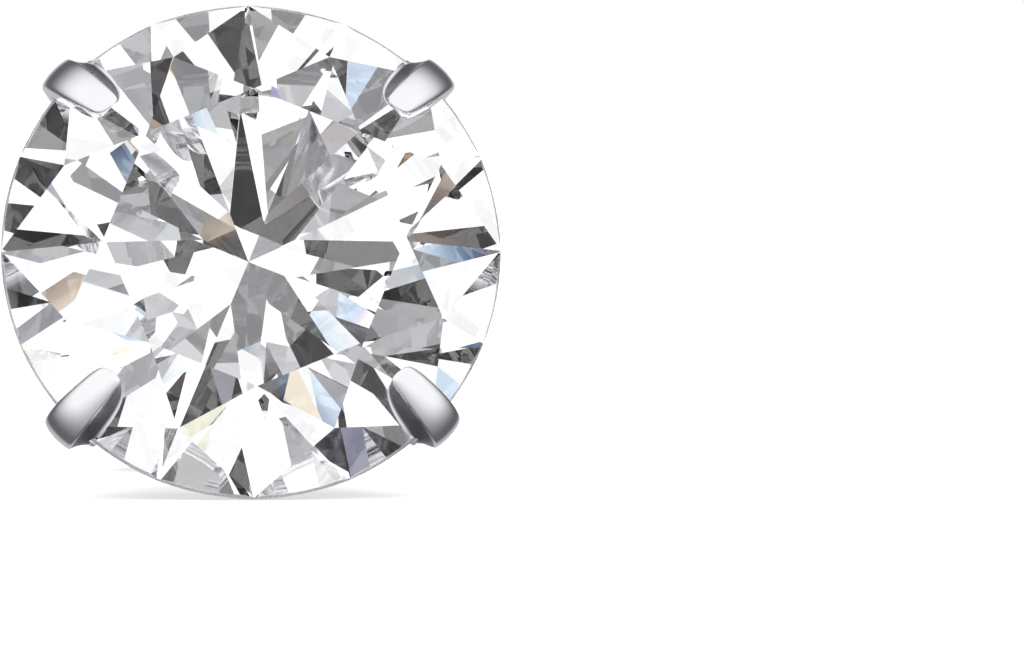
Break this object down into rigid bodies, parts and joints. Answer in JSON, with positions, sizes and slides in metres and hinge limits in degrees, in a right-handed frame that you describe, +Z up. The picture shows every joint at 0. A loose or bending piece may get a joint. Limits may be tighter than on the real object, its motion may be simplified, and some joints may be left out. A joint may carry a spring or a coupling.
{
  "type": "stud earring",
  "caption": "Stud earring with a round brilliant-cut clear stone held by claws in an open basket, on a straight post with a push-back nut.",
  "frame": {"origin": "middle of the footprint's box, on the surface that the stud rests on", "axes": "+Z up; the stone faces -Y and is tipped up a little; the post runs back along +Y; +X is to the right as the stone is looked at"},
  "size_m": [0.008, 0.0162, 0.0079],
  "materials": {
    "stone": "clear faceted stone, polished",
    "setting": "mirror-polished rhodium-plated silver",
    "ear_nut": "polished rhodium-plated silver"
  },
  "bodies": {
    "root": {"stone": "stone", "setting": "setting", "ear_nut": "ear_nut"}
  },
  "joints": []
}
